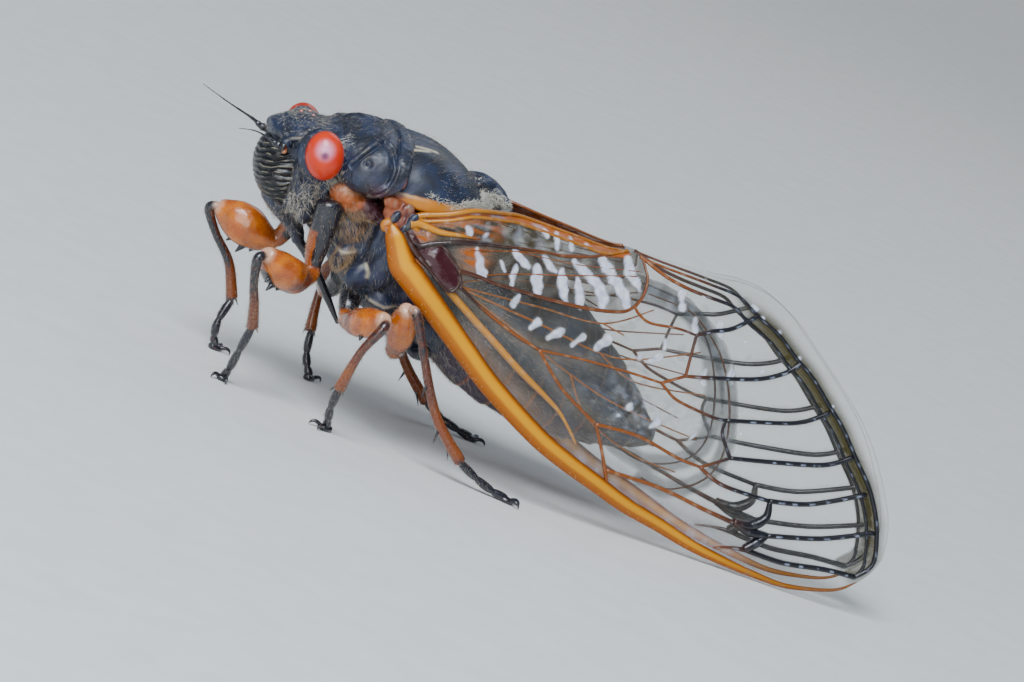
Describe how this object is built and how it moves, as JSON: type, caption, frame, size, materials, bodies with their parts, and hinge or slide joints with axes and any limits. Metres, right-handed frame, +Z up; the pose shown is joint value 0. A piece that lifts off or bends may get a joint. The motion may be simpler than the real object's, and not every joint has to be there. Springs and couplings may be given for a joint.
{
  "type": "periodical cicada",
  "caption": "Life-size still model of a periodical cicada at rest, black body, red eyes, orange legs and veined clear wings folded roof-like.",
  "frame": {"origin": "centre of the bounding box, at the level of the feet", "axes": "+X from the head to the wing tips, +Y to the insect's right side, +Z up"},
  "size_m": [0.0492, 0.0164, 0.017],
  "materials": {
    "cuticle_black": "satin blue-black shell with fine pale hairs",
    "face_black": "black shell with raised cross ridges",
    "eye_red": "smooth orange-red eye",
    "leg_orange": "glossy orange-brown",
    "shin_brown": "dark red-brown, fine hairs",
    "foot_black": "black",
    "wing_membrane": "clear glossy membrane with orange to black veins"
  },
  "bodies": {
    "root": {"abdomen": "cuticle_black", "antenna_left": "foot_black", "antenna_right": "foot_black", "eye_left": "eye_red", "eye_right": "eye_red", "face_shield": "face_black", "femur_fore_left": "leg_orange", "femur_fore_right": "leg_orange", "femur_hind_left": "leg_orange", "femur_hind_right": "leg_orange", "femur_mid_left": "leg_orange", "femur_mid_right": "leg_orange", "forewing_left": "wing_membrane", "forewing_right": "wing_membrane", "head": "cuticle_black", "hindwing_left": "wing_membrane", "hindwing_right": "wing_membrane", "mesonotum": "cuticle_black", "pronotum": "cuticle_black", "prothorax": "cuticle_black", "rostrum": "foot_black", "tarsus_fore_left": "foot_black", "tarsus_fore_right": "foot_black", "tarsus_hind_left": "foot_black", "tarsus_hind_right": "foot_black", "tarsus_mid_left": "foot_black", "tarsus_mid_right": "foot_black", "thorax": "cuticle_black", "tibia_fore_left": "shin_brown", "tibia_fore_right": "shin_brown", "tibia_hind_left": "shin_brown", "tibia_hind_right": "shin_brown", "tibia_mid_left": "shin_brown", "tibia_mid_right": "shin_brown"}
  },
  "joints": []
}
